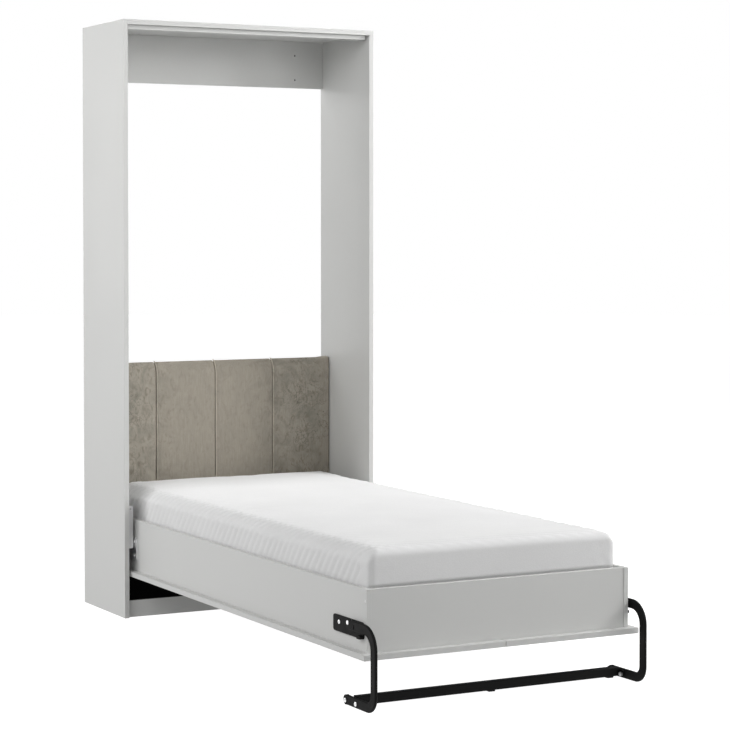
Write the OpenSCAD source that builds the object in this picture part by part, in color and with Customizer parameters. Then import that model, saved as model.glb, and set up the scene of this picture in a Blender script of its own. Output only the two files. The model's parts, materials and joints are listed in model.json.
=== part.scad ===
// Single vertical wall bed: an open cabinet whose bed folds up behind its own two-board front.
// Frame: origin on the floor at the wall, half way along the cabinet. +X right, -Y into the room, +Z up.
// The bed is drawn folded down, resting on its leg frame.

/* [Cabinet] */
// Outer width of the cabinet
cabinet_w = 1029; // [1000:1:1060]
// Outer height of the cabinet
cabinet_h = 2180; // [2150:1:2220]
// Depth of the cabinet from wall to front edge
cabinet_d = 410; // [405:1:430]
// Thickness of the cabinet boards and of the front
board_t = 18; // [16:1:19]
// Height of the plinth board
plinth_h = 62; // [50:1:62]
// How far the plinth and the stop strip stand behind the front edge
front_recess = 18; // [18:1:20]
// Height of the back rail under the top
back_rail_h = 183; // [140:1:220]
// Height of the lower back panel
lower_back_h = 430; // [380:1:431]
// Height and depth of the stop strip under the top
strip_size = [16, 60]; // [14:1:60]

/* [Wall fixing] */
// Sideways distance between the wall screws
wall_hole_dx = 744; // [600:1:800]
// Upright distance between the wall screws
wall_hole_dz = 96; // [64:32:96]
// Diameter of the wall screw holes
wall_hole_d = 6; // [5:0.5:8]

/* [Bed] */
// Height of the tilt axis above the floor
pivot_z = 254.5; // [252:0.5:257]
// Height of the underside of the front when the bed is down
front_z = 151; // [148:1:153]
// Gap between the front and each cabinet side
front_side_gap = 8; // [6:1:10]
// Gap between the front and the top panel when the bed is up
front_top_gap = 4; // [3:0.5:6]
// Length of the front from its foot end to its head end
front_len = 2074; // [2060:1:2074]
// Gap between the two boards of the front
front_seam = 2; // [1:0.5:3]
// Width between the side rails
bed_inner_w = 899; // [880:1:899]
// Length of the bed box between its end boards
bed_inner_len = 2012; // [2009:1:2012]
// Thickness of the bed box boards
rail_t = 16; // [15:1:18]
// Height of the bed box boards
rail_h = 188; // [180:1:190]
// How far the front reaches past the foot of the bed box
foot_overhang = 25; // [20:1:30]
// Number of slats
slat_count = 14; // [10:1:16]
// Width and thickness of a slat
slat_size = [60, 8]; // [6:1:70]

/* [Mattress] */
// Width of the mattress
mattress_w = 888; // [840:1:890]
// Length of the mattress
mattress_len = 1997; // [1950:1:1997]
// Height of the top of the mattress above the floor
mattress_top = 472; // [430:1:474]
// Radius of the mattress edges along its sides
mattress_r = 42; // [40:1:60]
// Radius of the mattress edges across its ends
mattress_end_r = 24; // [20:1:40]
// Radius of the upright corner edges of the mattress
mattress_corner_r = 20; // [15:1:42]

/* [Headboard] */
// Number of upholstered pads side by side
pad_count = 4; // [3:1:5]
// Height of the top of the pads above the floor
headboard_top = 912; // [860:1:960]
// Distance of the face of the pads from the wall
headboard_face = 79; // [70:1:82]
// Thickness of the pads
pad_t = 35; // [30:1:38]
// Height over which the top of a pad rolls back
pad_roll = 57; // [40:1:70]

/* [Leg frame] */
// Depth and thickness of the flat leg bar
leg_bar_size = [30, 10]; // [8:1:32]
// Centre height of the upper run of the leg
leg_upper_z = 242; // [240:1:243]
// Distance of the upright run in front of the front's foot end
leg_reach = 40; // [38:1:42]
// Distance of the leg pivot behind the front's foot end
leg_pivot_back = 115; // [113:1:118]
// Height of the leg pivot
leg_pivot_z = 248; // [247.5:0.5:249]
// Centreline radii of the upper and the lower bend
leg_bends = [58, 38]; // [36:1:60]
// Depth and height of the crossbar
crossbar_size = [25, 28]; // [24:1:30]

/* [Gas struts] */
// Distance from the wall and height of the strut's cabinet stud
strut_stud = [60, 410]; // [55:1:415]
// Bed stud of the strut, behind and below the tilt axis
strut_arm = [60, 30]; // [25:1:65]
// Diameter of the strut body
strut_d = 18; // [16:1:18]
// Diameter of the strut rod
strut_rod_d = 8; // [6:1:8]

/* [Hidden] */
$fn = 48;
inner_w2 = cabinet_w / 2 - board_t;
front_w2 = inner_w2 - front_side_gap;
box_in2 = bed_inner_w / 2;
box_out2 = box_in2 + rail_t;
top_z = cabinet_h - board_t;
edge_c = 0.7;                          // small chamfer on every board edge
hidden_c = 0.2;
eps = 0.01;

// The front has to close flush with the cabinet, which fixes where the tilt axis and the foot end lie.
pivot_y = -(cabinet_d - (pivot_z - front_z));
foot_y = pivot_y - (top_z - front_top_gap - pivot_z);
head_y = foot_y + front_len;
front_top = front_z + board_t;
rail_top = front_top + rail_h;
rail_foot_y = foot_y + foot_overhang;
footboard_y = rail_foot_y + 2;         // the footboard stands 2 back from the rail ends
footboard_in_y = footboard_y + rail_t;
rail_head_y = footboard_in_y + bed_inner_len + rail_t;
head_board_in_y = rail_head_y - rail_t;

ledge_z = [237, 262];
ledge_w = 20;
slat_top = ledge_z[1] + slat_size[1];
mattress_z = slat_top + 1;
mattress_foot_y = footboard_in_y + 12;

plate_t = 4;                           // steel plates on the rails
plate_x = box_out2 + plate_t;
leg_x = [plate_x + 2.5, plate_x + 2.5 + leg_bar_size[1]];
leg_mid_x = (leg_x[0] + leg_x[1]) / 2;
leg_y = foot_y - leg_reach;
leg_pivot_y = foot_y + leg_pivot_back;
leg_foot_z = leg_bar_size[0] / 2;
leg_foot_end_y = foot_y + 129;         // centre of the round rear end of the foot run
crossbar_y = foot_y + 79;              // front face of the crossbar
crossbar_z = 4;
leg_slot = [[leg_pivot_y - 40, 232], [leg_pivot_y - 35, 246]];
leg_bolt_y = [foot_y + 65, foot_y + 131];
leg_bolt_z = 13;

bracket_y = [foot_y + 40, foot_y + 234];
bracket_z = [207, 257];
bracket_bolt_y = [foot_y + 142, foot_y + 195];
bracket_bolt_z = 237;

bed_plate_y = [pivot_y - 102.5, pivot_y + 126.5];
bed_plate_z = [pivot_z - 44.5, pivot_z + 37.5];
plate_bolts = [[-85, 22], [-85, -28], [-40, 22], [30, 22], [108, 22], [108, -28]];

base_x = inner_w2 - 3;                 // face of the 3 thick plates on the cabinet sides
flange_x = inner_w2 - 24;
flange_y = [-(cabinet_d - 22), -(cabinet_d - 25)];
flange_z = [pivot_z - 2.5, pivot_z + 153.5];
base_back_y = pivot_y + 36.5;
base_z = [pivot_z - 22.5, flange_z[1]];
base_screws = [[-64, 45], [-64, 130], [-20, 130], [-20, 70]];

pin_r = 6;
bush_r = [6.05, 8];
strut_x = 483;
strut_cab = [-strut_stud[0], strut_stud[1]];
strut_bed = [pivot_y + strut_arm[0], pivot_z - strut_arm[1]];
strut_dir = strut_bed - strut_cab;
strut_len = norm(strut_dir);
strut_angle = atan2(-strut_dir[0], strut_dir[1]);
strut_tube = [16, 178];                // where the strut's body starts and ends along its length
anchor_screw = [[-15, 15], [15, -15]];

screw_z = [240, 322];                  // screws that join the rails to the end boards
screw_y = [footboard_y + rail_t / 2, head_board_in_y + rail_t / 2];

beam_y = [for (i = [1:3]) foot_y + i * 510];
beam_h = 66;
pad_w = (2 * inner_w2 - 6) / pad_count;
pad_back_y = -(headboard_face - pad_t);
pad_z = 434;

panel_colour = [0.80, 0.80, 0.79];
velvet_colour = [0.61, 0.58, 0.52];
cover_colour = [0.94, 0.94, 0.94];
beech_colour = [0.82, 0.68, 0.48];
zinc_colour = [0.75, 0.76, 0.78];
black_colour = [0.10, 0.10, 0.11];

SIDES = ["left", "right"];
PAIRS = ["side_panel", "cabinet_bracket", "pivot_pin", "strut_anchor", "front_board", "side_rail",
         "slat_ledge", "bed_plate", "pivot_bush", "leg_bracket", "leg_pin", "leg_bar", "strut_body",
         "strut_rod"];

// ---- helpers ----

// Octagon: a rectangle whose corners are cut by c
module cut_rect(a, b, c)
    polygon([[a[0] + c, a[1]], [b[0] - c, a[1]], [b[0], a[1] + c], [b[0], b[1] - c],
             [b[0] - c, b[1]], [a[0] + c, b[1]], [a[0], b[1] - c], [a[0], a[1] + c]]);

// Flat outline given in (Y, Z), thick from x0 to x1
module along_x(x0, x1)
    translate([x0, 0, 0]) rotate([90, 0, 90]) linear_extrude(x1 - x0) children();

// Board between two corners, with every edge chamfered
module board(lo, hi, c = edge_c)
    intersection() {
        translate([0, 0, lo[2]]) linear_extrude(hi[2] - lo[2]) cut_rect([lo[0], lo[1]], [hi[0], hi[1]], c);
        along_x(lo[0], hi[0]) cut_rect([lo[1], lo[2]], [hi[1], hi[2]], c);
        translate([0, hi[1], 0]) rotate([90, 0, 0])
            linear_extrude(hi[1] - lo[1]) cut_rect([lo[0], lo[2]], [hi[0], hi[2]], c);
    }

// Rectangle with round corners, made of exact arcs
module round_rect(a, b, r) {
    translate([a[0] + r, a[1]]) square([b[0] - a[0] - 2 * r, b[1] - a[1]]);
    translate([a[0], a[1] + r]) square([b[0] - a[0], b[1] - a[1] - 2 * r]);
    for (x = [a[0] + r, b[0] - r], y = [a[1] + r, b[1] - r])
        translate([x, y]) circle(r);
}

// Cylinder along X between x0 and x1, at p = [y, z]
module rod_x(x0, x1, p, r)
    translate([x0, p[0], p[1]]) rotate([0, 90, 0]) cylinder(h = x1 - x0, r = r);

// Everything is drawn on the right side, and mirrored for the left side
module on_side(s)
    mirror([s < 0 ? 1 : 0, 0, 0]) children();

// ---- cabinet ----

module side_panel(s)
    color(panel_colour) on_side(s)
        difference() {
            board([inner_w2, -cabinet_d, 0], [inner_w2 + board_t, 0, cabinet_h]);
            for (p = base_screws) rod_x(inner_w2 - eps, inner_w2 + 12, [pivot_y, pivot_z] + p, 2.5);
            for (p = anchor_screw) rod_x(inner_w2 - eps, inner_w2 + 12, strut_cab + p, 2.5);
        }

module top_panel()
    color(panel_colour) board([-inner_w2, -cabinet_d, top_z], [inner_w2, 0, cabinet_h]);

// The folded bed rests against this strip
module stop_strip()
    color(panel_colour)
        board([-front_w2, -cabinet_d + front_recess + 1, top_z - strip_size[0]],
              [front_w2, -cabinet_d + front_recess + 1 + strip_size[1], top_z]);

module back_rail()
    color(panel_colour)
        difference() {
            board([-inner_w2, -board_t, top_z - back_rail_h], [inner_w2, 0, top_z]);
            for (x = [-1, 1] * wall_hole_dx / 2, z = [0, wall_hole_dz])
                translate([x, 1, top_z - back_rail_h + 31.5 + z]) rotate([90, 0, 0])
                    cylinder(h = board_t + 2, d = wall_hole_d);
        }

// Its edges stay nearly sharp: they butt against the wall, the floor and the sides
module lower_back_panel()
    color(panel_colour) board([-inner_w2, -board_t, 0], [inner_w2, 0, lower_back_h], hidden_c);

module plinth()
    color(panel_colour)
        board([-inner_w2, -cabinet_d + front_recess, 0],
              [inner_w2, -cabinet_d + front_recess + board_t, plinth_h]);

module headboard_panel()
    color(panel_colour)
        board([-inner_w2, pad_back_y + 0.5, lower_back_h + 2],
              [inner_w2, pad_back_y + 0.5 + rail_t, headboard_top - 12]);

// One upholstered channel of the headboard, rolled back at its top
module headboard_pad(i) {
    x0 = -inner_w2 + 3 + (i - 1) * pad_w;
    arc = [for (a = [0:7.5:90]) [pad_back_y - pad_t * cos(a), headboard_top - pad_roll + pad_roll * sin(a)]];
    color(velvet_colour)
        along_x(x0 + 0.3, x0 + pad_w - 0.3)
            polygon(concat([[pad_back_y, pad_z], [-headboard_face, pad_z]], arc));
}

// Steel angle that carries the tilt pin: a plate on the cabinet side with a front flange
module cabinet_bracket(s)
    color(zinc_colour) on_side(s)
        difference() {
            union() {
                along_x(base_x, inner_w2)
                    round_rect([flange_y[0], base_z[0]], [base_back_y, base_z[1]], 8);
                translate([0, flange_y[1], 0]) rotate([90, 0, 0])
                    linear_extrude(flange_y[1] - flange_y[0])
                        round_rect([flange_x, flange_z[0]], [inner_w2, flange_z[1]], 6);
            }
            rod_x(base_x - 1, inner_w2 + 1, [pivot_y, pivot_z], pin_r);
            translate([flange_x + 10, 0, flange_z[1] - 12]) rotate([90, 0, 0])
                cylinder(h = cabinet_d, r = 2.5);
            for (p = base_screws) rod_x(base_x - 1, inner_w2 + 1, [pivot_y, pivot_z] + p, 2.5);
        }

// Tilt pin with a shoulder, fixed in the cabinet bracket
module pivot_pin(s)
    color(zinc_colour) on_side(s) {
        rod_x(box_out2 + 0.5, inner_w2 - 0.3, [pivot_y, pivot_z], pin_r);
        rod_x(plate_x + 7.5, base_x, [pivot_y, pivot_z], 10);
    }

// Plate and stud that hold the upper eye of a gas strut
module strut_anchor(s)
    color(zinc_colour) on_side(s) {
        difference() {
            along_x(base_x, inner_w2)
                round_rect(strut_cab - [22, 22], strut_cab + [22, 22], 6);
            for (p = anchor_screw) rod_x(base_x - 1, inner_w2 + 1, strut_cab + p, 2.5);
        }
        rod_x(strut_x + 4.5, base_x, strut_cab, 7);
        rod_x(strut_x - 6, base_x, strut_cab, 4);
        rod_x(strut_x - 7.5, strut_x - 5, strut_cab, 6);
    }

// Screw with a thin round head, driven outwards along X from the face at x
module side_screw(x, p, length, r = 2.5, head_r = 5, head_h = 1.2) {
    rod_x(x - head_h, x, p, head_r);
    rod_x(x - eps, x + length, p, r);
}

// Screws of both cabinet brackets and both strut anchors
module bracket_screws()
    color(zinc_colour)
        for (s = [-1, 1]) on_side(s) {
            for (p = base_screws) side_screw(base_x, [pivot_y, pivot_z] + p, 14);
            for (p = anchor_screw) side_screw(base_x, strut_cab + p, 14);
        }

// ---- bed ----

// One board of the front; folded up, the two boards close the cabinet
module front_board(s)
    color(panel_colour) on_side(s)
        board([front_seam / 2, foot_y, front_z], [front_w2, head_y, front_top]);

module side_rail(s)
    color(panel_colour) on_side(s)
        difference() {
            board([box_in2, rail_foot_y, front_top], [box_out2, rail_head_y, rail_top]);
            for (y = screw_y, z = screw_z) rod_x(box_in2 - 1, box_out2 + 1, [y, z], 3.5);
            for (p = plate_bolts) rod_x(box_in2 + 2, box_out2 + 1, [pivot_y, pivot_z] + p, 3);
            for (y = bracket_bolt_y) rod_x(box_in2 + 2, box_out2 + 1, [y, bracket_bolt_z], 3);
        }

// Board between the rails, from y0 towards the head
module end_board(y0)
    difference() {
        board([-box_in2, y0, front_top], [box_in2, y0 + rail_t, rail_top]);
        for (s = [-1, 1], z = screw_z)
            on_side(s) rod_x(box_in2 - 30, box_in2 + 1, [y0 + rail_t / 2, z], 2.5);
    }

module footboard()
    color(panel_colour) end_board(footboard_y);

module head_end_board()
    color(panel_colour) end_board(head_board_in_y);

// Stiffening board across the bed box, on the inside of the front
module cross_beam(i)
    color(panel_colour)
        board([-box_in2, beam_y[i - 1], front_top], [box_in2, beam_y[i - 1] + rail_t, front_top + beam_h]);

module slat_ledge(s)
    color(beech_colour) on_side(s)
        board([box_in2 - ledge_w, footboard_in_y + 4, ledge_z[0]],
              [box_in2, head_board_in_y - 4, ledge_z[1]]);

module slats() {
    first = footboard_in_y + 20;
    pitch = (head_board_in_y - 20 - slat_size[0] - first) / (slat_count - 1);
    color(beech_colour)
        for (i = [0:slat_count - 1])
            board([-box_in2 + 3, first + i * pitch, ledge_z[1]],
                  [box_in2 - 3, first + i * pitch + slat_size[0], slat_top], 2);
}

// Mattress block: rounded in plan and along its top and bottom edges. Folded up, the crossbar presses
// into the soft foam near its foot end.
module mattress() {
    x = mattress_w / 2;
    y0 = mattress_foot_y;
    y1 = y0 + mattress_len;
    r = mattress_r;
    color(cover_colour)
        intersection() {
            translate([0, 0, mattress_z]) linear_extrude(mattress_top - mattress_z)
                round_rect([-x, y0], [x, y1], mattress_corner_r);
            along_x(-x, x) round_rect([y0, mattress_z], [y1, mattress_top], mattress_end_r);
            translate([0, y1, 0]) rotate([90, 0, 0])
                linear_extrude(mattress_len) round_rect([-x, mattress_z], [x, mattress_top], r);
        }
}

// Steel plate on the rail that turns on the tilt pin; its stud takes the lower eye of the strut
module bed_plate(s)
    color(zinc_colour) on_side(s) {
        difference() {
            along_x(box_out2, plate_x)
                round_rect([bed_plate_y[0], bed_plate_z[0]], [bed_plate_y[1], bed_plate_z[1]], 10);
            rod_x(box_out2 - 1, plate_x + 1, [pivot_y, pivot_z], bush_r[1]);
            for (p = plate_bolts) rod_x(box_out2 - 1, plate_x + 1, [pivot_y, pivot_z] + p, 3);
        }
        rod_x(plate_x - eps, strut_x - 4.5, strut_bed, 5);
    }

// Bearing bush pressed into the bed plate
module pivot_bush(s)
    color(black_colour) on_side(s)
        difference() {
            rod_x(box_out2 + 0.3, plate_x + 7, [pivot_y, pivot_z], bush_r[1]);
            rod_x(box_out2, plate_x + 8, [pivot_y, pivot_z], bush_r[0]);
        }

// Bolt with a flat round head on a rail plate, driven inwards along X
module rail_bolt(p, head_r = 6.5) {
    rod_x(plate_x, plate_x + 2, p, head_r);
    rod_x(box_in2 + 2, plate_x + eps, p, 3);
}

module bed_plate_bolts()
    color(zinc_colour)
        for (s = [-1, 1], p = plate_bolts) on_side(s) rail_bolt([pivot_y, pivot_z] + p, 5.5);

// Plate that carries the leg, with a stop lip under the leg at its front end
module leg_bracket(s)
    color(black_colour) on_side(s)
        difference() {
            union() {
                along_x(box_out2, plate_x)
                    round_rect([bracket_y[0], bracket_z[0]], [bracket_y[1], bracket_z[1]], 9);
                along_x(plate_x - eps, leg_x[1] - 1)
                    round_rect([bracket_y[0] + 1, bracket_z[0] + 1],
                               [bracket_y[0] + 24, bracket_z[0] + 11], 4);
            }
            rod_x(box_out2 - 1, plate_x + 1, [leg_pivot_y, leg_pivot_z], 4.95);
            for (y = bracket_bolt_y) rod_x(box_out2 - 1, plate_x + 1, [y, bracket_bolt_z], 3);
        }

module leg_bracket_bolts()
    color(zinc_colour)
        for (s = [-1, 1], y = bracket_bolt_y) on_side(s) rail_bolt([y, bracket_bolt_z]);

// Leg hinge pin, with a spacer ring between plate and leg and a flat head outside the leg
module leg_pin(s)
    color(zinc_colour) on_side(s) {
        rod_x(box_out2 + 0.3, leg_x[1] + 1, [leg_pivot_y, leg_pivot_z], 4.95);
        rod_x(plate_x, leg_x[0] - 0.3, [leg_pivot_y, leg_pivot_z], 8);
        rod_x(leg_x[1] + 0.3, leg_x[1] + 2, [leg_pivot_y, leg_pivot_z], 6.5);
    }

// Screws with round caps that join the rails to the end boards
module rail_screws()
    color(cover_colour)
        for (s = [-1, 1], y = screw_y, z = screw_z) on_side(s) {
            rod_x(box_out2, box_out2 + 0.9, [y, z], 4);
            rod_x(box_in2 + eps, box_out2 + eps, [y, z], 3.5);
            rod_x(box_in2 - 28, box_in2 + 2 * eps, [y, z], 2.5);
        }

// ---- leg frame ----

// Section of the leg bar, with rounded edges: a across the bend, b along X
module leg_section()
    round_rect(-leg_bar_size / 2, leg_bar_size / 2, 3.5);

// Quarter bend about (y, z), starting at angle a
module leg_bend(y, z, r, a)
    translate([leg_mid_x, y, z]) rotate([90, 0, 90]) rotate([0, 0, a])
        rotate_extrude(angle = 90) translate([r, 0]) leg_section();

// Straight run towards +Y
module leg_run(y, z, length)
    translate([leg_mid_x, y, z]) rotate([-90, 0, 0]) rotate([0, 0, 90]) linear_extrude(length) leg_section();

// Flat steel bar bent into a C round the foot end of the front
module leg_bar(s) {
    upper_y = leg_y + leg_bends[0];
    lower_y = leg_y + leg_bends[1];
    lower_z = leg_foot_z + leg_bends[1];
    color(black_colour) on_side(s)
        difference() {
            union() {
                rod_x(leg_x[0], leg_x[1], [leg_pivot_y, leg_upper_z], leg_bar_size[0] / 2);
                leg_run(upper_y, leg_upper_z, leg_pivot_y - upper_y);
                leg_bend(upper_y, leg_upper_z - leg_bends[0], leg_bends[0], 90);
                translate([leg_mid_x, leg_y, lower_z]) rotate([0, 0, 90])
                    linear_extrude(leg_upper_z - leg_bends[0] - lower_z) leg_section();
                leg_bend(lower_y, lower_z, leg_bends[1], 180);
                leg_run(lower_y, leg_foot_z, leg_foot_end_y - lower_y);
                rod_x(leg_x[0], leg_x[1], [leg_foot_end_y, leg_foot_z], leg_bar_size[0] / 2);
            }
            rod_x(leg_x[0] - 1, leg_x[1] + 1, [leg_pivot_y, leg_pivot_z], 5);
            along_x(leg_x[0] - 1, leg_x[1] + 1) round_rect(leg_slot[0], leg_slot[1], 2.5);
            for (y = leg_bolt_y) rod_x(leg_x[0] - 1, leg_x[1] + 1, [y, leg_bolt_z], 4);
        }
}

// Rectangular tube between the legs, with a welded tab along each foot run
module crossbar() {
    y1 = crossbar_y + crossbar_size[0];
    z1 = crossbar_z + crossbar_size[1];
    tab_x = leg_x[0] - 4;
    color(black_colour)
        difference() {
            union() {
                along_x(-tab_x, tab_x) round_rect([crossbar_y, crossbar_z], [y1, z1], 3);
                for (s = [-1, 1]) on_side(s)
                    along_x(tab_x, leg_x[0])
                        round_rect([leg_bolt_y[0] - 11, 3], [leg_bolt_y[1] + 11, 27], 8);
            }
            along_x(-tab_x + 1, tab_x - 1)
                round_rect([crossbar_y + 2, crossbar_z + 2], [y1 - 2, z1 - 2], 1.5);
            for (s = [-1, 1], y = leg_bolt_y) on_side(s)
                rod_x(tab_x - 1, leg_x[0] + 1, [y, leg_bolt_z], 4);
        }
}

module crossbar_bolts()
    color(zinc_colour)
        for (s = [-1, 1], y = leg_bolt_y) on_side(s) {
            rod_x(leg_x[1], leg_x[1] + 3, [y, leg_bolt_z], 7);
            rod_x(leg_x[0] - 11, leg_x[1] + eps, [y, leg_bolt_z], 4);
        }

module crossbar_nuts()
    color(zinc_colour)
        for (s = [-1, 1], y = leg_bolt_y) on_side(s)
            difference() {
                translate([leg_x[0] - 10, y, leg_bolt_z]) rotate([0, 90, 0]) cylinder(h = 6, r = 7, $fn = 6);
                rod_x(leg_x[0] - 11, leg_x[0] - 3, [y, leg_bolt_z], 4);
            }

// Pads under the crossbar
module foot_pads()
    color(black_colour)
        for (x = [-438, 0, 438])
            board([x - 11, crossbar_y + 1, 0], [x + 11, crossbar_y + crossbar_size[0] - 1, crossbar_z], 0.5);

// ---- gas struts ----

// Places a strut piece: its local +Z runs from the cabinet stud to the bed stud
module on_strut(s)
    translate([s * strut_x, strut_cab[0], strut_cab[1]]) rotate([strut_angle, 0, 0]) children();

// Flat eye across the strut, at z along its length
module eye(z, r, bore)
    translate([-4, 0, z]) rotate([0, 90, 0])
        difference() {
            cylinder(h = 8, r = r);
            translate([0, 0, -1]) cylinder(h = 10, r = bore);
        }

// Half section of the strut's neck and hollow body, with a guide for the rod at its open end
module strut_tube_half() {
    r = strut_d / 2;
    guide_r = strut_rod_d / 2 + 0.05;
    z0 = strut_tube[0];
    z1 = strut_tube[1];
    polygon([[0, 8.5], [4, 8.5], [4, z0], [r, z0], [r, z1], [guide_r, z1], [guide_r, z1 - 4], [r - 2, z1 - 4],
             [r - 2, z0 + 4], [0, z0 + 4]]);
}

module strut_body(s)
    color(black_colour) on_strut(s) {
        eye(0, 10, 4.05);
        rotate_extrude() strut_tube_half();
    }

module strut_rod(s)
    color(zinc_colour) on_strut(s) {
        translate([0, 0, 76]) cylinder(h = strut_len - 8 - 76, d = strut_rod_d);
        translate([0, 0, 70]) cylinder(h = 10, d = strut_d - 4.2);
        eye(strut_len, 9, 5.1);
    }

// ---- nodes ----

top_panel();
stop_strip();
back_rail();
lower_back_panel();
plinth();
headboard_panel();
for (i = [1:pad_count])
    headboard_pad(i);
bracket_screws();
footboard();
head_end_board();
for (i = [1:3])
    cross_beam(i);
slats();
mattress();
bed_plate_bolts();
leg_bracket_bolts();
rail_screws();
crossbar();
crossbar_bolts();
crossbar_nuts();
foot_pads();
for (i = [0, 1]) {
    s = 2 * i - 1;
    side_panel(s);
    cabinet_bracket(s);
    pivot_pin(s);
    strut_anchor(s);
    front_board(s);
    side_rail(s);
    slat_ledge(s);
    bed_plate(s);
    pivot_bush(s);
    leg_bracket(s);
    leg_pin(s);
    leg_bar(s);
    strut_body(s);
    strut_rod(s);
}
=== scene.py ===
"""Looks of a single vertical wall bed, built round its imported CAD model.

Metres, in the CAD frame: origin on the floor at the wall, +X right, -Y into the room, +Z up.
"""

import json
import math

import bmesh
import bpy
import numpy as np
from mathutils import Matrix, Vector, noise


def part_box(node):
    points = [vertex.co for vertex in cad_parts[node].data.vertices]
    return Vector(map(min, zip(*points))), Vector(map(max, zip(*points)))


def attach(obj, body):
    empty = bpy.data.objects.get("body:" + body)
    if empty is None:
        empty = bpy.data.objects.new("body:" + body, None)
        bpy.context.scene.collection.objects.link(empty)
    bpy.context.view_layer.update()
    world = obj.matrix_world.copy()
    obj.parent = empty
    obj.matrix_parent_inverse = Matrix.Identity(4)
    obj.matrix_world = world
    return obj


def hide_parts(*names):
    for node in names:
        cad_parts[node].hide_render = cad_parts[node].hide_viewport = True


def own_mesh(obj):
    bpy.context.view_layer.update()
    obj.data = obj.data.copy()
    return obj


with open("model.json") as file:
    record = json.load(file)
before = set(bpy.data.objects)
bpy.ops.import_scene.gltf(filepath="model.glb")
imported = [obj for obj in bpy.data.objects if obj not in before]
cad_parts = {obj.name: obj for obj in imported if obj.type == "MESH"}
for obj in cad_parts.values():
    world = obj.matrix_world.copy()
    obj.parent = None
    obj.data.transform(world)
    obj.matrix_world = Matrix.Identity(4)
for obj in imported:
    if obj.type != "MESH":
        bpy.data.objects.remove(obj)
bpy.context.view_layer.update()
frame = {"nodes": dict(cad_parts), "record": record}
MM = 0.001
ARC_STEPS = 4  # mesh steps over 45 degrees of a rounding
INFLATE_FRAMES = 20
SCREW_SIDES = 24

# ---------------------------------------------------------------- mesh helpers


def coords(mesh):
    """The vertices of a mesh as an array."""
    flat = np.empty(len(mesh.vertices) * 3, np.float32)
    mesh.vertices.foreach_get("co", flat)
    return flat.reshape(-1, 3).astype(float)


def set_coords(mesh, points):
    mesh.vertices.foreach_set("co", points.astype(np.float32).ravel())
    mesh.update()


def normals(mesh):
    flat = np.empty(len(mesh.vertices) * 3, np.float32)
    mesh.vertices.foreach_get("normal", flat)
    return flat.reshape(-1, 3).astype(float)


def smoothstep(x, low, high):
    t = np.clip((x - low) / (high - low), 0, 1)
    return t * t * (3 - 2 * t)


def soft_noise(points, size, seed):
    """Smooth noise, about -1 to 1, whose blobs are about size metres across."""
    shift = Vector((seed * 7.31, seed * 3.17, seed * 1.73))
    return np.array([noise.noise(Vector(p) / size + shift) for p in points])


def shade_smooth(mesh):
    mesh.polygons.foreach_set("use_smooth", [True] * len(mesh.polygons))


def new_piece(name, mesh, body, material, nodes=()):
    """Puts a finished mesh in the scene: it rides on a body and may stand for CAD nodes."""
    piece = bpy.data.objects.new(name, mesh)
    bpy.context.scene.collection.objects.link(piece)
    mesh.materials.clear()
    mesh.materials.append(material)
    shade_smooth(mesh)
    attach(piece, body)
    if nodes:
        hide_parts(*nodes)
    return piece


def apply_modifiers(piece):
    """Replaces the piece's mesh with its evaluated one."""
    graph = bpy.context.evaluated_depsgraph_get()
    made = bpy.data.meshes.new_from_object(piece.evaluated_get(graph))
    piece.modifiers.clear()
    piece.data = made


def subdivide(piece):
    piece.modifiers.new("finer", "SUBSURF").levels = 1
    apply_modifiers(piece)


def axis_steps(low, high, radius, step):
    """Positions along one axis of a rounded block: even in the middle, equal angles over the rounding."""
    count = max(2, round((high - low - 2 * radius) / step) + 1)
    inner = np.linspace(low + radius, high - radius, count)
    rim = [radius * math.tan(math.radians(45 * i / ARC_STEPS)) for i in range(1, ARC_STEPS + 1)]
    start = [low + radius - r for r in reversed(rim)]
    end = [high - radius + r for r in rim]
    return np.array(start + list(inner) + end)


def outline_distance(u, v, half_u, half_v, radius):
    """Signed distance from the outline of a rectangle with round corners."""
    a, b = np.abs(u) - half_u + radius, np.abs(v) - half_v + radius
    return np.hypot(np.maximum(a, 0), np.maximum(b, 0)) + np.minimum(np.maximum(a, b), 0) - radius


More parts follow.
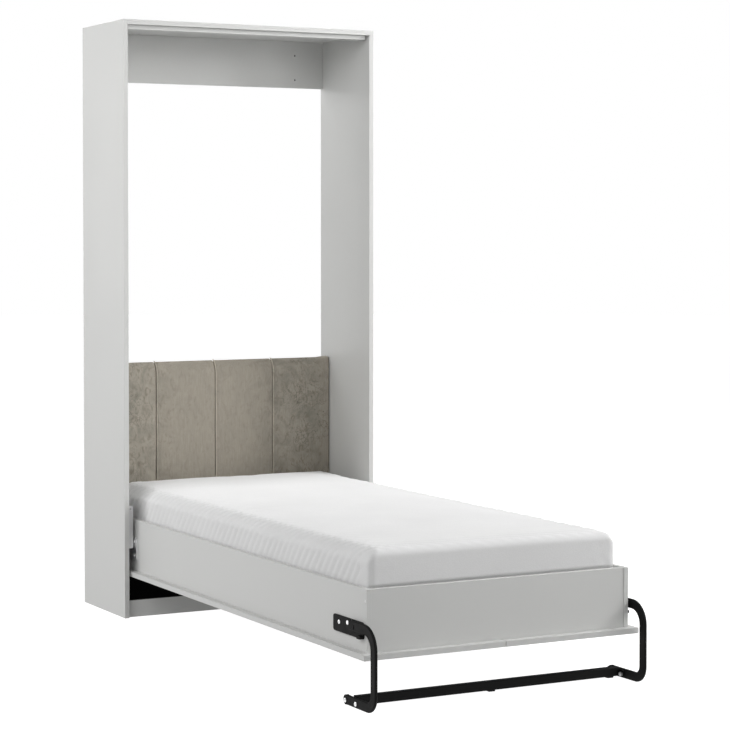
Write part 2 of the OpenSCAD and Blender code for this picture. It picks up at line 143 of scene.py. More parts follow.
def rounded_block(name, low, high, radii, spacing):
    """Closed quad mesh of a block. radii round its long edges, its end edges and its upright corner edges."""
    radius, end_radius, corner_radius = radii
    merge_distance, halvings = 0.01 * MM, 24
    low, high = np.array(low), np.array(high)
    middle, half = (low + high) / 2, (high - low) / 2
    steps = [axis_steps(low[i], high[i], radius, spacing[i]) for i in range(3)]
    bm = bmesh.new()
    for fixed in range(3):
        a, b = (fixed + 1) % 3, (fixed + 2) % 3
        for side in (low, high):
            grid = []
            for u in steps[a]:
                row = []
                for v in steps[b]:
                    p = np.empty(3)
                    p[fixed], p[a], p[b] = side[fixed], u, v
                    row.append(bm.verts.new(p))
                grid.append(row)
            for i in range(len(grid) - 1):
                for j in range(len(grid[0]) - 1):
                    quad = [grid[i][j], grid[i + 1][j], grid[i + 1][j + 1], grid[i][j + 1]]
                    bm.faces.new(quad if side is high else quad[::-1])
    bmesh.ops.remove_doubles(bm, verts=bm.verts, dist=merge_distance)
    mesh = bpy.data.meshes.new(name)
    bm.to_mesh(mesh)
    bm.free()
    cube = coords(mesh)
    core = np.clip(cube, low + radius, high - radius)
    away = cube - core
    away /= np.linalg.norm(away, axis=1)[:, None]
    near, far = np.zeros(len(cube)), np.full(len(cube), 2 * radius)
    for _ in range(halvings):
        reach = (near + far) / 2
        x, y, z = (core + away * reach[:, None] - middle).T
        distances = [
            outline_distance(x, y, half[0], half[1], corner_radius),
            outline_distance(x, z, half[0], half[2], radius),
            outline_distance(y, z, half[1], half[2], end_radius),
        ]
        outside = np.maximum.reduce(distances) > 0
        near, far = np.where(outside, near, reach), np.where(outside, reach, far)
    set_coords(mesh, core + away * near[:, None])
    return mesh


def inflate(mesh, pressure, stiffness, cap):
    """Swells a closed mesh with cloth pressure and no gravity. cap is how far each point may move."""
    scene = bpy.context.scene
    rest = coords(mesh)
    piece = bpy.data.objects.new("inflating", mesh)
    scene.collection.objects.link(piece)
    cloth = piece.modifiers.new("cloth", "CLOTH")
    settings = cloth.settings
    settings.quality = 5
    settings.mass = 0.3
    settings.tension_stiffness = stiffness
    settings.compression_stiffness = stiffness
    settings.shear_stiffness = stiffness / 2
    settings.bending_stiffness = 0.5
    settings.use_pressure = True
    settings.uniform_pressure_force = pressure
    settings.effector_weights.gravity = 0
    cloth.collision_settings.use_collision = False
    cloth.point_cache.frame_start = 1
    cloth.point_cache.frame_end = INFLATE_FRAMES
    for f in range(1, INFLATE_FRAMES + 1):
        scene.frame_set(f)
    graph = bpy.context.evaluated_depsgraph_get()
    moved = coords(piece.evaluated_get(graph).to_mesh()) - rest
    piece.evaluated_get(graph).to_mesh_clear()
    bpy.data.objects.remove(piece)
    scene.frame_set(1)
    least_far, least_cap = 1e-9, 1e-6
    far = np.maximum(np.linalg.norm(moved, axis=1), least_far)
    limit = np.broadcast_to(np.maximum(cap, least_cap), far.shape)
    set_coords(mesh, rest + moved * (limit * np.tanh(far / limit) / far)[:, None])


# ---------------------------------------------------------------- material helpers


class Paint:
    """A material under construction: a Principled shader and the nodes that drive it."""

    def __init__(self, name, **sockets):
        self.material = bpy.data.materials.new(name)
        self.material.use_nodes = True
        self.tree = self.material.node_tree
        self.shader = self.tree.nodes["Principled BSDF"]
        for key, value in sockets.items():
            self.shader.inputs[key.replace("_", " ")].default_value = value
        self.place = self.node("TexCoord").outputs["Object"]

    def node(self, kind, settings=(), **inputs):
        made = self.tree.nodes.new("ShaderNode" + kind)
        for key, value in dict(settings).items():
            setattr(made, key, value)
        for key, value in inputs.items():
            socket = made.inputs[int(key[1:]) if key[1:].isdigit() else key.replace("_", " ")]
            if isinstance(value, bpy.types.NodeSocket):
                self.tree.links.new(value, socket)
            else:
                socket.default_value = value
        return made

    def stretched(self, x, y, z):
        """Object coordinates scaled along each axis."""
        return self.node("Mapping", Vector=self.place, Scale=(x, y, z)).outputs[0]

    def noise(self, scale, detail=2.0, place=None, distortion=0.0, roughness=0.5):
        sockets = {"Scale": scale, "Detail": detail, "Distortion": distortion, "Roughness": roughness}
        return self.node("TexNoise", Vector=place or self.place, **sockets).outputs[0]

    def span(self, value, low, high, to_low=0.0, to_high=1.0):
        """Value between low and high, carried to a new range."""
        return self.node(
            "MapRange", Value=value, From_Min=low, From_Max=high, To_Min=to_low, To_Max=to_high
        ).outputs[0]

    def spread(self, value, to_low=0.0, to_high=1.0):
        """A noise value, mostly 0.3 to 0.7, carried to a new range."""
        return self.span(value, 0.3, 0.7, to_low, to_high)

    def math(self, operation, a, b=0.0):
        return self.node("Math", {"operation": operation}, _0=a, _1=b).outputs[0]

    def mix(self, factor, a, b):
        """Colour a where the factor is 0, and b where it is 1."""
        made = self.tree.nodes.new("ShaderNodeMix")
        made.data_type = "RGBA"
        for socket, value in ((made.inputs[0], factor), (made.inputs[6], a), (made.inputs[7], b)):
            if isinstance(value, bpy.types.NodeSocket):
                self.tree.links.new(value, socket)
            else:
                socket.default_value = value
        return made.outputs[2]

    def bump(self, height, strength, distance, under=None):
        made = self.node("Bump", Height=height, Strength=strength, Distance=distance)
        if under is not None:
            self.tree.links.new(under, made.inputs["Normal"])
        return made.outputs[0]

    def drive(self, **sockets):
        for key, value in sockets.items():
            self.tree.links.new(value, self.shader.inputs[key.replace("_", " ")])
        return self


def grey(value, tint=(1.0, 1.0, 1.0)):
    return (value * tint[0], value * tint[1], value * tint[2], 1.0)


# ---------------------------------------------------------------- materials

PANEL_TINT = (1.0, 1.004, 0.985)


def board_tone(paint, cloud, dark, light):
    """The cloudy light grey of a melamine board."""
    return paint.mix(paint.spread(cloud), grey(dark, PANEL_TINT), grey(light, PANEL_TINT))


def pearl(paint):
    """The fine pearl texture of a melamine board."""
    return paint.bump(paint.noise(900.0, 2.0), 0.12, 0.15 * MM)


def laminate(name="laminate", holes=None):
    """Light grey matt melamine: cloudy tone, tiny flecks and a fine pearl texture. The walls of the drilled
    holes of a bolt pattern show the dark core, deepened to near black with painted shade for the hollows of
    the holes."""
    # Core tone deepened with painted shade for the hollows of the holes.
    core = grey(0.012, (1.0, 0.85, 0.7))
    paint = Paint(name, IOR=1.45)
    cloud = paint.noise(2.2, 3.0)
    fleck = paint.noise(420.0, 2.0)
    tone = board_tone(paint, cloud, 0.595, 0.620)
    tone = paint.mix(paint.span(fleck, 0.35, 0.65, 0.0, 0.35), tone, grey(0.57, PANEL_TINT))
    if holes:
        tone = paint.mix(bolt_holes(paint, holes), tone, core)
    return paint.drive(
        Base_Color=tone,
        Roughness=paint.spread(cloud, 0.40, 0.48),
        Normal=pearl(paint),
    ).material


def bolt_holes(paint, mount):
    """1 within the holes of a four-hole bolt pattern that lies in an XZ plane, 0 elsewhere."""
    dims, wall = mount["dims"], 0.15 * MM
    part = paint.node("SeparateXYZ", Vector=paint.place)
    offsets = []
    for axis, spacing in ((0, dims["spacing_x_mm"]), (2, dims["spacing_y_mm"])):
        from_middle = paint.math("SUBTRACT", part.outputs[axis], mount["pos_m"][axis])
        offset = paint.math("SUBTRACT", paint.math("ABSOLUTE", from_middle), spacing * MM / 2)
        offsets.append(paint.math("MULTIPLY", offset, offset))
    distance = paint.math("SQRT", paint.math("ADD", *offsets))
    return paint.math("LESS_THAN", distance, dims["hole_r_mm"] * MM + wall)


def laminate_with_painted_shade(name, axis, painted_shade_from, light_from):
    """A light grey board with painted shade: black where its normal along an axis goes from the light limit
    to the dark limit, standing in for the deep shade on those faces.
    """
    paint = Paint(name, IOR=1.45, Specular_IOR_Level=0.08)
    facing = paint.node("SeparateXYZ", Vector=paint.node("TexCoord").outputs["Normal"]).outputs[axis]
    cloud = paint.noise(2.2, 3.0)
    light = board_tone(paint, cloud, 0.58, 0.61)
    # Painted shade: the black that stands for the deep shade under the bed.
    dark = paint.mix(paint.spread(cloud), grey(0.002), grey(0.004))
    return paint.drive(
        Base_Color=paint.mix(paint.span(facing, painted_shade_from, light_from), dark, light),
        Roughness=paint.spread(cloud, 0.5, 0.6),
        Normal=pearl(paint),
    ).material


def velvet(name, light=1.0):
    """Taupe velvet: crushed patches, strongest on the outer channels, over fine upright pile streaks."""
    low_tone = grey(0.348 * light, (1.0, 0.905, 0.755))
    high_tone = grey(0.394 * light, (1.0, 0.915, 0.775))
    patch_tone = grey(0.245 * light, (1.0, 0.96, 0.81))
    mark_tone = grey(0.222 * light, (1.0, 0.88, 0.72))
    scratch_tone = grey(0.15 * light, (1.0, 0.93, 0.80))
    sheen_tint = (0.86, 0.80, 0.70, 1.0)
    paint = Paint(
        name, Sheen_Weight=0.55, Sheen_Roughness=0.35, Sheen_Tint=sheen_tint, IOR=1.4, Specular_IOR_Level=0.2
    )

    off_middle = paint.math("ABSOLUTE", paint.node("SeparateXYZ", Vector=paint.place).outputs[0])
    rising = paint.span(off_middle, 0.16, 0.36, 0.25, 1.0)
    falling = paint.span(off_middle, 0.40, 0.46, 1.0, 0.45)
    outer = paint.math("MULTIPLY", rising, falling)

    contour = paint.math("SUBTRACT", paint.noise(26.0, 4.0, distortion=1.6), 0.5)
    lines = paint.span(paint.math("ABSOLUTE", contour), 0.004, 0.022, 1.0, 0.0)
    scratches = paint.math("MULTIPLY", lines, paint.span(off_middle, 0.22, 0.34))
    worn = paint.span(paint.noise(9.0, 2.0), 0.40, 0.60, 0.0, 0.8)
    scratches = paint.math("MULTIPLY", scratches, worn)
    patches = paint.span(paint.noise(13.0, 5.0, distortion=1.2, roughness=0.62), 0.42, 0.68)
    marks = paint.noise(42.0, 4.0, place=paint.stretched(1.0, 1.0, 0.55), distortion=2.0)
    marks = paint.span(marks, 0.52, 0.70)
    streaks = paint.noise(1.0, 3.0, place=paint.stretched(260.0, 260.0, 22.0))

    base = paint.mix(paint.spread(streaks), low_tone, high_tone)
    base = paint.mix(paint.math("MULTIPLY", patches, outer), base, patch_tone)
    base = paint.mix(paint.math("MULTIPLY", marks, outer), base, mark_tone)
    base = paint.mix(scratches, base, scratch_tone)
    pile = paint.noise(1500.0, 1.0)
    return paint.drive(
        Base_Color=base,
        Roughness=paint.span(patches, 0.0, 1.0, 0.78, 0.92),
        Normal=paint.bump(pile, 0.25, 0.3 * MM, under=paint.bump(marks, 0.25, 0.8 * MM)),
    ).material


def mattress_knit():
    """White knitted cover with a small diamond stitch."""
    paint = Paint("mattress_knit", Sheen_Weight=0.15, Sheen_Roughness=0.5, IOR=1.4, Specular_IOR_Level=0.25)
    stitch = paint.node("TexVoronoi", {"distance": "MANHATTAN"}, Vector=paint.place, Scale=260.0).outputs[0]
    cloud = paint.noise(5.0, 3.0)
    base = paint.mix(paint.spread(cloud), grey(0.740), grey(0.775))
    base = paint.mix(paint.span(stitch, 0.3, 0.9, 0.0, 0.25), base, grey(0.65))
    return paint.drive(
        Base_Color=base,
        Roughness=paint.spread(cloud, 0.82, 0.92),
        Normal=paint.bump(stitch, 0.2, 0.5 * MM),
    ).material


def beech(name, along):
    """Clear lacquered beech with its grain along one axis."""
    light_tone, dark_tone = grey(0.62, (1.0, 0.70, 0.42)), grey(0.50, (1.0, 0.62, 0.34))
    pore_tone = grey(0.25, (1.0, 0.6, 0.35))
    across_scale, along_scale = 60.0, 4.0
    paint = Paint(name, Coat_Weight=0.15, Coat_Roughness=0.3)
    scale = [along_scale if axis == along else across_scale for axis in range(3)]
    grain = paint.noise(1.0, 5.0, place=paint.stretched(*scale), distortion=0.4)
    pores = paint.noise(6.0, 2.0, place=paint.stretched(*scale))
    base = paint.mix(paint.spread(grain), light_tone, dark_tone)
    base = paint.mix(paint.span(pores, 0.62, 0.72, 0.0, 0.5), base, pore_tone)
    return paint.drive(
        Base_Color=base,
        Roughness=paint.spread(grain, 0.38, 0.5),
        Normal=paint.bump(grain, 0.2, 0.2 * MM),
    ).material


def bright_metal(name, tone, rough, scale):
    """Plated or polished steel with a faint blotchy finish."""
    paint = Paint(name, Metallic=1.0)
    blotch = paint.noise(scale, 3.0)
    return paint.drive(
        Base_Color=paint.mix(paint.spread(blotch), grey(tone * 0.94), grey(tone, (1.0, 1.0, 1.01))),
        Roughness=paint.spread(blotch, rough * 0.85, rough * 1.2),
        Normal=paint.bump(paint.noise(700.0, 1.0), 0.05, 0.1 * MM),
    ).material


def coated(name, tone, rough, grain, strength, shine=0.5):
    """Powder coat or moulded plastic: one tone with a fine grain."""
    paint = Paint(name, IOR=1.5, Specular_IOR_Level=shine)
    cloud = paint.noise(30.0, 3.0)
    return paint.drive(
        Base_Color=paint.mix(paint.spread(cloud), grey(tone * 0.9), grey(tone * 1.1)),
        Roughness=paint.spread(cloud, rough * 0.92, rough * 1.08),
        Normal=paint.bump(paint.noise(grain, 2.0), strength, 0.2 * MM),
    ).material


MATERIALS = {
    "laminate": laminate(),
    "velvet": velvet("velvet"),
    # A lighter copy of the velvet for the seam welts: painted highlight for the light they catch.
    "velvet_piping_painted_highlight": velvet("velvet_piping_painted_highlight", 1.5),
    "mattress_cover": mattress_knit(),
    "beech": beech("beech_across", 0),
    "zinc_steel": bright_metal("zinc_steel", 0.60, 0.50, 60.0),
    "bolt_zinc": bright_metal("bolt_zinc", 0.90, 0.40, 60.0),
    "rod_chrome": bright_metal("rod_chrome", 0.80, 0.10, 25.0),
    "black_steel": coated("black_steel", 0.005, 0.60, 1300.0, 0.35, 0.10),
    "black_plastic": coated("black_plastic", 0.008, 0.60, 900.0, 0.2, 0.15),
    "white_plastic": coated("white_plastic", 0.78, 0.35, 900.0, 0.08),
}


def paint_cad_nodes():
    """Gives every CAD node the material of its slot."""
    lengthwise = beech("beech_along", 1)
    wall_fixing = next(m for m in frame["record"]["mounts"] if m["name"] == "wall_fixing")
    special = {
        # The lower back panel's bed-side face and the plinth's top carry painted shade: black for the deep
        # shade under the bed.
        "lower_back_panel": laminate_with_painted_shade("back_laminate_painted_shade", 1, -0.6, -0.4),
        "plinth": laminate_with_painted_shade("plinth_laminate_painted_shade", 2, 0.6, 0.4),
        "back_rail": laminate("drilled_laminate", wall_fixing),
    }
    for side in ("left", "right"):
        special["slat_ledge_" + side] = lengthwise
        special["leg_pin_" + side] = special["bed_plate_" + side] = MATERIALS["bolt_zinc"]
    for part in frame["record"]["subparts"]:
        mesh = frame["nodes"][part["node"]].data
        mesh.materials.clear()
        mesh.materials.append(special.get(part["node"], MATERIALS[part["material_slot"]]))


# ---------------------------------------------------------------- mattress


END_BAND = 62 * MM  # plain end panel of the cover, measured round the corner


def quilt_height(points, low, high, radius):
    """Height of the quilting: slanting channels that wrap over the top edges and down the sides."""
    pitch, slant, mean = 38 * MM, 0.76, 0.6
    ridge_height, crossing_height, scallop_height, middle_strength = 4.0 * MM, 1.6 * MM, 2.6 * MM, 0.12
    x, y, z = points.T
    half = (high[0] - low[0]) / 2
    middle = (high[0] + low[0]) / 2
    off = np.abs(x - middle)
    over = np.clip(np.arctan2(off - (half - radius), z - (high[2] - radius)), 0, math.pi / 2)
    drop = np.clip(high[2] - radius - z, 0, None)
    outside = off > half - radius
    round_edge = half - radius + radius * over + np.where(over > 1.5, drop, 0)
    run = np.sign(x - middle) * np.where(outside, round_edge, off)
    wander = soft_noise(points, 180 * MM, 5) * 0.15
    ridge = np.abs(np.sin(math.pi * ((y + slant * run) / pitch + wander))) ** 0.7
    crossing = np.abs(np.sin(math.pi * ((y - 1.3 * slant * run) / pitch - wander))) ** 0.6
    scallop = np.abs(np.sin(math.pi * ((y - 0.4 * run) / (2 * pitch) + wander))) ** 0.8
    near_side = smoothstep(off, half - 150 * MM, half - 25 * MM)
    from_end = np.minimum(y - low[1], high[1] - y)
    near_end = 1 - smoothstep(from_end, 25 * MM, 140 * MM)
    end_face = smoothstep(12 * MM - from_end, 0, 8 * MM)
    upright = smoothstep(high[2] - z, 0.35 * radius, 0.8 * radius)
    plain_band = upright * (1 - smoothstep(from_end, END_BAND - 8 * MM, END_BAND + 8 * MM))
    strength = np.maximum(np.maximum(near_side, near_end), middle_strength)
    strength = strength * (1 - end_face) * (1 - plain_band)
    underside = smoothstep(z, low[2], low[2] + radius)
    on_edge = (1 - upright) * near_side
    height = ridge_height * (ridge - mean)
    height += crossing_height * (crossing - mean) * on_edge + scallop_height * (scallop - mean) * on_edge
    return height * strength * underside


def seam_groove(points, low, high, radius, corner_radius):
    """Depth of the upright seams: one at each corner and one where the end panel stops on the side."""
    width, corner_depth, band_depth = 3.5 * MM, 1.8 * MM, 1.2 * MM
    x, y, z = points.T
    from_side = (high[0] - low[0]) / 2 - np.abs(x - (high[0] + low[0]) / 2)
    from_end = np.minimum(y - low[1], high[1] - y)
    below_top = 1 - smoothstep(z, high[2] - radius, high[2] - 0.2 * radius)
    on_end = 1 - smoothstep(from_end, 0.5 * corner_radius, corner_radius)
    on_side = 1 - smoothstep(from_side, 0.5 * corner_radius, corner_radius)
    corner = np.exp(-(((from_side - 0.8 * corner_radius) / width) ** 2)) * on_end
    band_end = np.exp(-(((from_end - END_BAND) / width) ** 2)) * on_side
    return (corner_depth * corner + band_depth * band_end) * below_top


def mattress():
    """Foam mattress in a quilted cover. Cloth pressure crowns it; the quilting and seams come after."""
    low, high = (np.array(corner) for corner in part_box("mattress"))
    radius, end_radius, corner_radius = 45 * MM, 15 * MM, 14 * MM
    radii = (radius, end_radius, corner_radius)
    spacing = (20 * MM, 11.5 * MM, 11 * MM)
    start_low, start_high = low + np.array([3, 2, 0.5]) * MM, high - np.array([3, 2, 5]) * MM
    mesh = rounded_block("mattress_cover", start_low, start_high, radii, spacing)
    x, y = coords(mesh)[:, :2].T
    up = normals(mesh)[:, 2]
    crown = (1 - (x / high[0]) ** 2) * smoothstep(y, low[1] + 120 * MM, low[1] + 500 * MM)
    top_cap, under_cap, side_cap = 6.0 + 11.0 * crown, 0.2, 2.0
    cap = np.where(up > 0.3, top_cap, np.where(up < -0.3, under_cap, side_cap)) * MM
    inflate(mesh, pressure=4.0, stiffness=25.0, cap=cap)

    cover = MATERIALS["mattress_cover"]
    piece = new_piece("mattress_cover", mesh, "bed", cover, ["mattress"])
    subdivide(piece)
    mesh = piece.data
    points = coords(mesh)
    lift = quilt_height(points, points.min(0), points.max(0), radius)
    lift -= seam_groove(points, points.min(0), points.max(0), radius, corner_radius)
    edge = smoothstep(np.abs(points[:, 0]), 300 * MM, 420 * MM)
    wave_height, pucker_height = (0.6 + 1.2 * edge) * MM, 0.7 * edge * MM
    lift += soft_noise(points, 160 * MM, 3) * wave_height
    lift += soft_noise(points, 24 * MM, 8) * pucker_height
    board_top, tuck_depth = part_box("footboard")[1].z, 5 * MM
    tucked = 1 - smoothstep(points[:, 2], board_top - 6 * MM, board_top + 5 * MM)
    facing = normals(mesh)
    lift -= tuck_depth * tucked * np.clip(-facing[:, 1], 0, 1)
    set_coords(mesh, points + facing * lift[:, None])
    shade_smooth(mesh)
    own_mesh(piece)


# ---------------------------------------------------------------- headboard

PAD_ROLL = 57 * MM  # radius of the rolled top edge


def pad_blank(node):
    """A channel of the headboard as an even mesh, from the CAD solid."""
    piece = bpy.data.objects.new("blank", frame["nodes"][node].data.copy())
    bpy.context.scene.collection.objects.link(piece)
    remesh = piece.modifiers.new("even", "REMESH")
    remesh.mode = "VOXEL"
    remesh.voxel_size = 4.6 * MM
    smooth = piece.modifiers.new("round", "SMOOTH")
    smooth.factor = 0.5
    smooth.iterations = 2
    apply_modifiers(piece)
    mesh = piece.data
    bpy.data.objects.remove(piece)
    return mesh


def headboard():
    """Four padded channels side by side, each swollen by cloth pressure, with a welt in each seam."""
    cloth = MATERIALS["velvet"]
    names = sorted(n for n in frame["nodes"] if n.startswith("headboard_pad_"))
    low, high = (np.array(corner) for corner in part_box(names[0]))
    blank = pad_blank(names[0])
    points = coords(blank)
    from_side = np.minimum(points[:, 0] - low[0], high[0] - points[:, 0])
    front = points[:, 1] < high[1] - 6 * MM
    front_cap, back_cap = 0.5 + 1.8 * smoothstep(from_side, 3 * MM, 50 * MM), 0.1
    cap = np.where(front, front_cap, back_cap) * MM
    inflate(blank, pressure=3.0, stiffness=20.0, cap=cap)
    for i, name in enumerate(names):
        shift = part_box(name)[0].x - low[0]
        mesh = blank.copy()
        mesh.transform(Matrix.Translation((shift, 0, 0)))
        piece = new_piece(f"headboard_channel_{i + 1}", mesh, "cabinet", cloth, [name])
        subdivide(piece)
        outer = {0: -1, len(names) - 1: 1}.get(i, 0)
        sideways = np.array([shift, 0, 0])
        pad_details(piece.data, low + sideways, high + sideways, outer, i)
    bpy.data.meshes.remove(blank)
    for i in range(1, len(names)):
        seam_welt(i, (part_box(names[i - 1])[1].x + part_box(names[i])[0].x) / 2, low, high)


def pad_details(mesh, low, high, outer, seed):
    """Draws in the channel's long edges and adds crushed marks.

    outer is -1 or +1 for the channel at the headboard's left or right end, where its top is squared."""
    edge_draw, squareness, least = 2.5 * MM, 0.7, 1e-6
    points = coords(mesh)
    if outer:
        x, y, z = points.T
        to_end = high[0] - x if outer > 0 else x - low[0]
        forward, upward = low[1] + PAD_ROLL - y, z - (high[2] - PAD_ROLL)
        farther = np.maximum(np.maximum(forward, upward), least)
        square = np.hypot(forward, upward) / farther
        on_roll = (forward > 0) & (upward > 0)
        near_end = 1 - smoothstep(to_end, 4 * MM, 60 * MM)
        grow = np.where(on_roll, (square - 1) * squareness * near_end, 0)
        points[:, 1] -= forward * grow
        points[:, 2] += upward * grow
    x, y, z = points.T
    from_side = np.minimum(x - low[0] if outer >= 0 else 1.0, high[0] - x if outer <= 0 else 1.0)
    depth = high[1] - y
    edge = 1 - smoothstep(from_side, 0, 6 * MM)
    points[:, 1] += edge_draw * edge * smoothstep(depth, 2 * MM, 20 * MM)
    points[:, 2] -= edge_draw * edge * smoothstep(z, high[2] - 40 * MM, high[2])
    coarse_crush, fine_crush = 0.7 * MM, 0.25 * MM
    crush = soft_noise(points, 55 * MM, 11 + seed) * coarse_crush
    crush += soft_noise(points, 18 * MM, 31 + seed) * fine_crush
    points[:, 1] += crush * smoothstep(depth, 10 * MM, 25 * MM)
    set_coords(mesh, points)
    shade_smooth(mesh)


def seam_welt(number, x, low, high):
    """Thin piped seam between two channels, over the front and the rolled top, in a lighter velvet that is a
    painted highlight.
    """
    inset, foot, straight = -1.2 * MM, 2 * MM, 200 * MM
    reach_y, reach_z = high[1] - low[1] - inset, PAD_ROLL - inset
    curve = bpy.data.curves.new(f"welt_{number}", "CURVE")
    curve.dimensions = "3D"
    curve.bevel_depth = 2.6 * MM
    curve.bevel_resolution = 3
    path = [(x, low[1] + inset, low[2] + along) for along in (foot, straight)]
    for degrees in range(0, 90, 9):
        angle = math.radians(degrees)
        path.append((x, high[1] - reach_y * math.cos(angle), high[2] - PAD_ROLL + reach_z * math.sin(angle)))
    spline = curve.splines.new("POLY")
    spline.points.add(len(path) - 1)
    for point, place in zip(spline.points, path):
        point.co = (*place, 1.0)
    holder = bpy.data.objects.new("welt", curve)
    bpy.context.scene.collection.objects.link(holder)
    graph = bpy.context.evaluated_depsgraph_get()
    mesh = bpy.data.meshes.new_from_object(holder.evaluated_get(graph))
    bpy.data.objects.remove(holder)
    new_piece(f"headboard_welt_{number}", mesh, "cabinet", MATERIALS["velvet_piping_painted_highlight"])


# ---------------------------------------------------------------- screws and bolts


def solids_of(node):
    """The box of each separate solid of a CAD node."""
    bm = bmesh.new()
    bm.from_mesh(frame["nodes"][node].data)
    bmesh.ops.remove_doubles(bm, verts=bm.verts, dist=0.001 * MM)
    left, boxes = set(bm.verts), []
    while left:
        stack, found = [left.pop()], []
        while stack:
            vert = stack.pop()
            found.append(tuple(vert.co))
            for edge in vert.link_edges:
                other = edge.other_vert(vert)
                if other in left:
                    left.remove(other)
                    stack.append(other)
        boxes.append((np.min(found, axis=0), np.max(found, axis=0)))
    bm.free()
    return sorted(boxes, key=lambda b: tuple(np.round(b[0], 4)))


def turned(bm, profile, centre, direction):
    """Adds a body turned about X: profile is (x, radius, is_hex) from its tip to the bottom of its socket."""
    rings = []
    for along, radius, is_hex in profile:
        ring = []
        for k in range(SCREW_SIDES):
            angle = 2 * math.pi * k / SCREW_SIDES
            fit = math.cos(math.pi / 6) / math.cos((angle % (math.pi / 3)) - math.pi / 6) if is_hex else 1.0
            y, z = radius * fit * math.cos(angle), radius * fit * math.sin(angle)
            ring.append(bm.verts.new(centre + Vector((direction * along, y, z))))
        rings.append(ring)
    for a, b in zip(rings, rings[1:]):
        for k in range(SCREW_SIDES):
            n = (k + 1) % SCREW_SIDES
            bm.faces.new([a[k], a[n], b[n], b[k]])
    bm.faces.new(rings[0][::-1])
    bm.faces.new(rings[-1])


def screws(name, node, body, slot, material, head_radius, head_height, shank_radius, socket, outwards):
    """Stands for a node of plain screws: each gets a rounded head with a hexagon socket or a plain cap.

    outwards is +1 where the heads face away from the middle of the bed, and -1 where they face it."""
    bm = bmesh.new()
    for low, high in solids_of(node):
        middle = (low + high) / 2
        direction = outwards * (1 if middle[0] > 0 else -1)
        length = high[0] - low[0]
        centre = Vector((high[0] if direction > 0 else low[0], middle[1], middle[2]))
        under = -head_height
        profile = [
            (-length, shank_radius * 0.7, False),
            (-length + 1.5 * MM, shank_radius, False),
            (under, shank_radius, False),
            (under, head_radius, False),
            (-0.45 * head_height, head_radius, False),
            (-0.12 * head_height, head_radius * 0.86, False),
            (0.0, head_radius * 0.66, False),
        ]
        if socket:
            depth = min(0.8 * head_height, 1.6 * MM)
            profile += [
                (0.0, head_radius * 0.44, True),
                (-depth, head_radius * 0.42, True),
                (-depth * 1.05, head_radius * 0.05, False),
            ]
        else:
            profile += [(0.02 * MM, head_radius * 0.3, False), (0.03 * MM, head_radius * 0.05, False)]
        turned(bm, profile, centre, direction)
    bmesh.ops.recalc_face_normals(bm, faces=bm.faces)
    mesh = bpy.data.meshes.new(name)
    bm.to_mesh(mesh)
    bm.free()
    new_piece(name, mesh, body, MATERIALS[material], [node])
    mesh.set_sharp_from_angle(angle=math.radians(35))


FASTENERS = (
    # piece, CAD node, body, slot, material, head radius, head height, shank radius (mm), socket, outwards
    ("leg_plate_bolts", "leg_bracket_bolts", "bed", "zinc_steel", "bolt_zinc", 6.5, 2, 3, True, 1),
    ("hinge_plate_bolts", "bed_plate_bolts", "bed", "zinc_steel", "bolt_zinc", 5.5, 2, 3, True, 1),
    ("leg_frame_bolts", "crossbar_bolts", "leg_frame", "zinc_steel", "bolt_zinc", 7, 3, 4, True, 1),
    ("cabinet_plate_screws", "bracket_screws", "cabinet", "zinc_steel", "bolt_zinc", 5, 1.2, 2.5, True, -1),
    ("rail_screw_caps", "rail_screws", "bed", "white_plastic", "white_plastic", 4, 0.9, 2.5, False, 1),
)


def fasteners():
    """Every visible screw, bolt and cap."""
    for *names, head_radius, head_height, shank_radius, socket, outwards in FASTENERS:
        screws(*names, head_radius * MM, head_height * MM, shank_radius * MM, socket, outwards)


# ---------------------------------------------------------------- light, floor and camera


LAMPS = {
    # name: place, target, side in metres, power in watts
    "left": ((-3.8, -2.4, 3.2), (-0.3, -0.9, 0.8), 2.4, 76),
    "left_near": ((-2.2, -0.3, 2.4), (0.0, -0.9, 0.5), 1.4, 10),
    "left_back": ((-3.5, 0.6, 1.4), (-0.3, -0.6, 0.8), 2.0, 45),
    "right": ((4.2, -3.2, 3.2), (0.0, -1.0, 0.6), 2.6, 237),
    "right_near": ((2.2, -0.6, 2.8), (0.0, -0.9, 0.5), 1.4, 25),
    "front_right": ((2.5, -6.5, 2.5), (0.0, -0.6, 1.0), 3.0, 80),
    "camera_side": ((-3.8, -8.5, 4.5), (0.0, -0.6, 1.0), 3.5, 84),
    "back_near": ((0.0, 1.3, 2.6), (0.0, -0.8, 0.4), 1.4, 22),
}
FLOOR_HALF, BACKDROP_RADIUS = 30.0, 29.0
CAMERA_PLACE = (-3.5173, -7.8745, 1.4110)
CAMERA_DOWN, CAMERA_TURN = 1.661, -28.08  # degrees: below the horizon, and anticlockwise from +Y
CAMERA_LENS, CAMERA_SHIFT = 108.71, (0.00405, -0.0954)


def area_light(name, place, target, size, power):
    light = bpy.data.lights.new(name, "AREA")
    light.shape = "SQUARE"
    light.size = size
    light.energy = power
    lamp = bpy.data.objects.new(name, light)
    lamp.location = place
    lamp.rotation_euler = (Vector(target) - Vector(place)).to_track_quat("-Z", "Y").to_euler()
    bpy.context.scene.collection.objects.link(lamp)


def plain_material(name, colour, glow):
    """Matt stage material that may glow."""
    material = bpy.data.materials.new(name)
    material.use_nodes = True
    shader = material.node_tree.nodes["Principled BSDF"]
    shader.inputs["Base Color"].default_value = grey(colour)
    shader.inputs["Roughness"].default_value = 0.9
    shader.inputs["Specular IOR Level"].default_value = 0.0
    shader.inputs["Emission Color"].default_value = grey(1.0)
    shader.inputs["Emission Strength"].default_value = glow
    return material


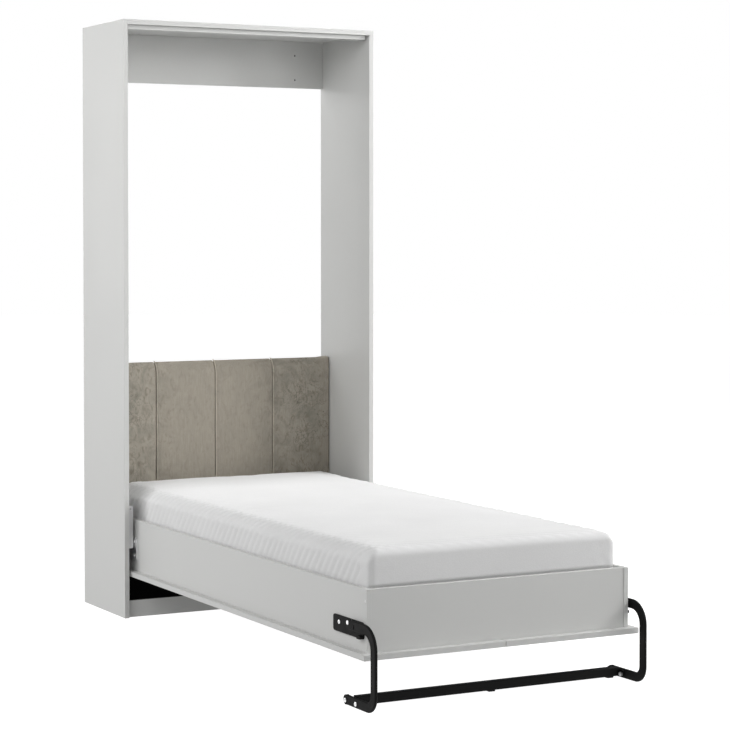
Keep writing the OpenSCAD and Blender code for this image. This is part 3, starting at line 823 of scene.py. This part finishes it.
def shade_mesh():
    """The floor inside the cabinet, behind the plinth, which lies in deep shade."""
    above = 0.2 * MM
    left, right = (corner.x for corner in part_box("plinth"))
    front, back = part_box("plinth")[1].y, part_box("lower_back_panel")[0].y
    corners = [(left, front, above), (right, front, above), (right, back, above), (left, back, above)]
    mesh = bpy.data.meshes.new("floor_shade")
    mesh.from_pydata(corners, [], [(0, 1, 2, 3)])
    mesh.materials.append(plain_material("floor_shade", 0.004, 0.0))
    return mesh


def floor_mesh():
    mesh = bpy.data.meshes.new("floor")
    bm = bmesh.new()
    bmesh.ops.create_grid(bm, x_segments=8, y_segments=8, size=FLOOR_HALF)
    bm.to_mesh(mesh)
    bm.free()
    mesh.materials.append(plain_material("floor_pale", 0.30, 1.0))
    return mesh


def backdrop_mesh():
    mesh = bpy.data.meshes.new("backdrop")
    bm = bmesh.new()
    bmesh.ops.create_uvsphere(bm, u_segments=48, v_segments=24, radius=BACKDROP_RADIUS)
    bmesh.ops.reverse_faces(bm, faces=bm.faces)
    bm.to_mesh(mesh)
    bm.free()
    mesh.materials.append(plain_material("backdrop_white", 0.0, 1.0))
    return mesh


def sky():
    """A soft sky, brightest at the horizon."""
    world = bpy.data.worlds.new("studio")
    bpy.context.scene.world = world
    world.use_nodes = True
    tree = world.node_tree
    background = tree.nodes["Background"]
    height = tree.nodes.new("ShaderNodeSeparateXYZ")
    ramp = tree.nodes.new("ShaderNodeMapRange")
    for socket, value in (("From Min", -0.05), ("From Max", 0.3), ("To Min", 0.35), ("To Max", 0.01)):
        ramp.inputs[socket].default_value = value
    tree.links.new(tree.nodes.new("ShaderNodeTexCoord").outputs["Generated"], height.inputs[0])
    tree.links.new(height.outputs[2], ramp.inputs["Value"])
    tree.links.new(ramp.outputs[0], background.inputs["Color"])
    background.inputs["Strength"].default_value = 1.0


def studio():
    """Pale floor, white backdrop, a soft sky and large soft lamps."""
    scene = bpy.context.scene
    scene.view_settings.view_transform = "Standard"
    sky()
    floor = bpy.data.objects.new("floor", floor_mesh())
    floor.location = (0, -1, -0.5 * MM)
    shade = bpy.data.objects.new("shade", shade_mesh())
    backdrop = bpy.data.objects.new("backdrop", backdrop_mesh())
    for stage_object in (floor, shade, backdrop):
        scene.collection.objects.link(stage_object)
        stage_object.visible_diffuse = False
    backdrop.visible_glossy = False
    backdrop.visible_transmission = False
    backdrop.visible_shadow = False
    for name, settings in LAMPS.items():
        area_light(name, *settings)


def camera():
    """The photograph's camera."""
    data = bpy.data.cameras.new("camera")
    data.lens = CAMERA_LENS
    data.sensor_width = 36.0
    data.shift_x, data.shift_y = CAMERA_SHIFT
    data.dof.use_dof = False
    data.clip_end = 200.0
    shot = bpy.data.objects.new("camera", data)
    shot.location = CAMERA_PLACE
    shot.rotation_euler = (math.radians(90 - CAMERA_DOWN), 0.0, math.radians(CAMERA_TURN))
    bpy.context.scene.collection.objects.link(shot)
    bpy.context.scene.camera = shot


paint_cad_nodes()
camera()
studio()
mattress()
headboard()
fasteners()
